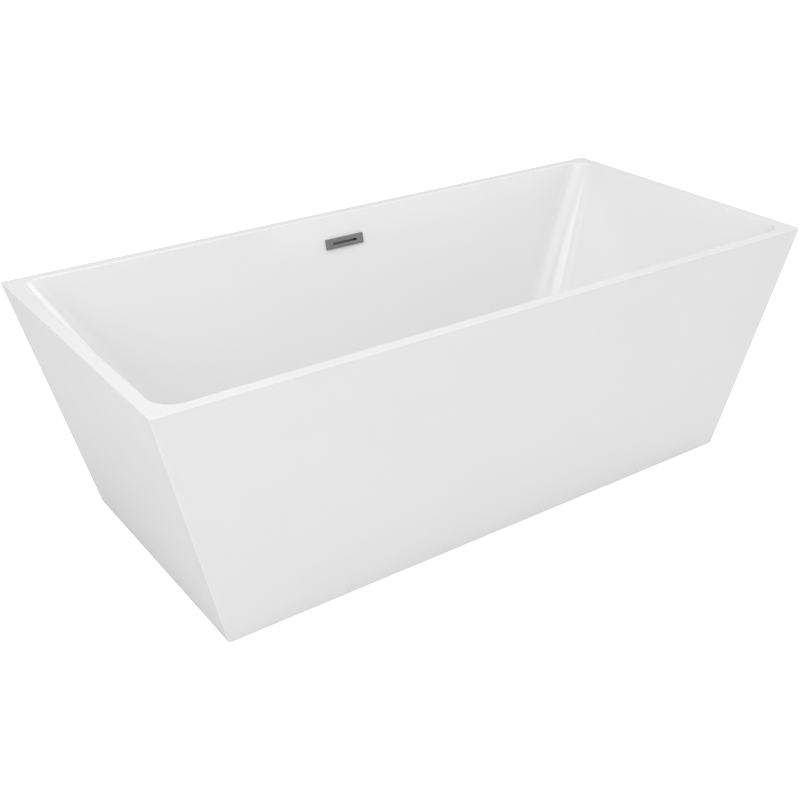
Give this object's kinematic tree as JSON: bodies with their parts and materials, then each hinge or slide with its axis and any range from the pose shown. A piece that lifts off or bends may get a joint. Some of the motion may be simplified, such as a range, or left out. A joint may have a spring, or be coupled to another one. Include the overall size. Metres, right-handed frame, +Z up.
{
  "type": "freestanding bathtub",
  "caption": "Rectangular freestanding bathtub with tapered skirt, thin flat rim, slot overflow, click-plug drain, swivelling trap and levelling feet.",
  "frame": {"origin": "on the floor under the middle of the rim, with the feet at their drawn height", "axes": "+X along the tub, +Y across it towards the wall with the overflow, +Z up"},
  "size_m": [1.6992, 0.7498, 0.575],
  "materials": {
    "white_acrylic": "high-gloss moulded sheet",
    "glass_fibre_backing": "rough sprayed glass-fibre laminate",
    "plywood": "plain birch-faced board",
    "softwood": "sawn batten",
    "galvanised_steel": "zinc-coated tube and strip",
    "zinc_fastener": "bright zinc plating",
    "black_rubber": "matt moulded rubber",
    "chrome": "polished plating on brass",
    "brushed_steel_plate": "fine straight-brushed stainless sheet",
    "white_polypropylene": "satin moulded plastic",
    "grey_polypropylene": "satin moulded plastic",
    "grey_hose": "flexible moulded tube",
    "spring_steel": "stainless wire",
    "brass": "turned, unplated"
  },
  "bodies": {
    "tub": {"bar_screws": "zinc_fastener", "base_board": "plywood", "basin": "white_acrylic", "basin_laminate": "glass_fibre_backing", "batten_front": "softwood", "batten_left": "softwood", "batten_rear": "softwood", "batten_right": "softwood", "bracket_bar_screws": "zinc_fastener", "bracket_batten_screws": "zinc_fastener", "click_cartridge": "brass", "click_spring": "spring_steel", "crossbar_1": "galvanised_steel", "crossbar_2": "galvanised_steel", "crossbar_3": "galvanised_steel", "crossbar_4": "galvanised_steel", "drain_flange": "chrome", "drain_gasket": "black_rubber", "hose_clamp_lower": "galvanised_steel", "hose_clamp_upper": "galvanised_steel", "lock_nuts": "zinc_fastener", "overflow_body": "white_polypropylene", "overflow_chassis": "grey_polypropylene", "overflow_gasket": "black_rubber", "overflow_hose": "grey_hose", "overflow_plate": "brushed_steel_plate", "overflow_screws": "zinc_fastener", "skirt": "white_acrylic", "skirt_brackets": "galvanised_steel", "skirt_laminate": "glass_fibre_backing", "union_nut": "white_polypropylene", "union_washer": "black_rubber", "waste_body": "white_polypropylene", "waste_seal": "black_rubber", "weld_nuts": "galvanised_steel"},
    "plug": {"plug_cap": "chrome", "plug_seal": "black_rubber", "plug_stem": "brass"},
    "trap": {"trap_body": "white_polypropylene", "outlet_nut": "white_polypropylene", "outlet_seal": "black_rubber", "cleanout_cap": "white_polypropylene", "cleanout_seal": "black_rubber"},
    "foot_1": {"foot_pad_1": "black_rubber"},
    "stud_1": {"foot_stud_1": "zinc_fastener"},
    "foot_2": {"foot_pad_2": "black_rubber"},
    "stud_2": {"foot_stud_2": "zinc_fastener"},
    "foot_3": {"foot_pad_3": "black_rubber"},
    "stud_3": {"foot_stud_3": "zinc_fastener"},
    "foot_4": {"foot_pad_4": "black_rubber"},
    "stud_4": {"foot_stud_4": "zinc_fastener"},
    "foot_5": {"foot_pad_5": "black_rubber"},
    "stud_5": {"foot_stud_5": "zinc_fastener"},
    "foot_6": {"foot_pad_6": "black_rubber"},
    "stud_6": {"foot_stud_6": "zinc_fastener"}
  },
  "joints": [
    {"name": "plug_lift", "type": "slide", "parent": "tub", "child": "plug", "axis": [0, 0, 1], "range_m": [0, 0.009], "deforming": ["click_spring"]},
    {"name": "trap_swivel", "type": "hinge", "parent": "tub", "child": "trap", "pos_m": [0, 0, 0.064], "axis": [0, 0, 1], "range_deg": [-40, 40]},
    {"name": "foot_1_lift", "type": "slide", "parent": "tub", "child": "foot_1", "axis": [0, 0, -1], "range_m": [-0.008, 0.015]},
    {"name": "foot_1_turn", "type": "hinge", "parent": "foot_1", "child": "stud_1", "pos_m": [-0.5, -0.2, 0.02], "axis": [0, 0, -1], "range_deg": [-1646, 3086]},
    {"name": "foot_2_lift", "type": "slide", "parent": "tub", "child": "foot_2", "axis": [0, 0, -1], "range_m": [-0.008, 0.015]},
    {"name": "foot_2_turn", "type": "hinge", "parent": "foot_2", "child": "stud_2", "pos_m": [-0.5, 0.2, 0.02], "axis": [0, 0, -1], "range_deg": [-1646, 3086]},
    {"name": "foot_3_lift", "type": "slide", "parent": "tub", "child": "foot_3", "axis": [0, 0, -1], "range_m": [-0.008, 0.015]},
    {"name": "foot_3_turn", "type": "hinge", "parent": "foot_3", "child": "stud_3", "pos_m": [-0.17, 0, 0.02], "axis": [0, 0, -1], "range_deg": [-1646, 3086]},
    {"name": "foot_4_lift", "type": "slide", "parent": "tub", "child": "foot_4", "axis": [0, 0, -1], "range_m": [-0.008, 0.015]},
    {"name": "foot_4_turn", "type": "hinge", "parent": "foot_4", "child": "stud_4", "pos_m": [0.17, 0, 0.02], "axis": [0, 0, -1], "range_deg": [-1646, 3086]},
    {"name": "foot_5_lift", "type": "slide", "parent": "tub", "child": "foot_5", "axis": [0, 0, -1], "range_m": [-0.008, 0.015]},
    {"name": "foot_5_turn", "type": "hinge", "parent": "foot_5", "child": "stud_5", "pos_m": [0.5, -0.2, 0.02], "axis": [0, 0, -1], "range_deg": [-1646, 3086]},
    {"name": "foot_6_lift", "type": "slide", "parent": "tub", "child": "foot_6", "axis": [0, 0, -1], "range_m": [-0.008, 0.015]},
    {"name": "foot_6_turn", "type": "hinge", "parent": "foot_6", "child": "stud_6", "pos_m": [0.5, 0.2, 0.02], "axis": [0, 0, -1], "range_deg": [-1646, 3086]}
  ],
  "couplings": [
    {"joint": "foot_1_turn", "follows": "foot_1_lift", "rad_per_m": 3590.4},
    {"joint": "foot_2_turn", "follows": "foot_2_lift", "rad_per_m": 3590.4},
    {"joint": "foot_3_turn", "follows": "foot_3_lift", "rad_per_m": 3590.4},
    {"joint": "foot_4_turn", "follows": "foot_4_lift", "rad_per_m": 3590.4},
    {"joint": "foot_5_turn", "follows": "foot_5_lift", "rad_per_m": 3590.4},
    {"joint": "foot_6_turn", "follows": "foot_6_lift", "rad_per_m": 3590.4}
  ]
}
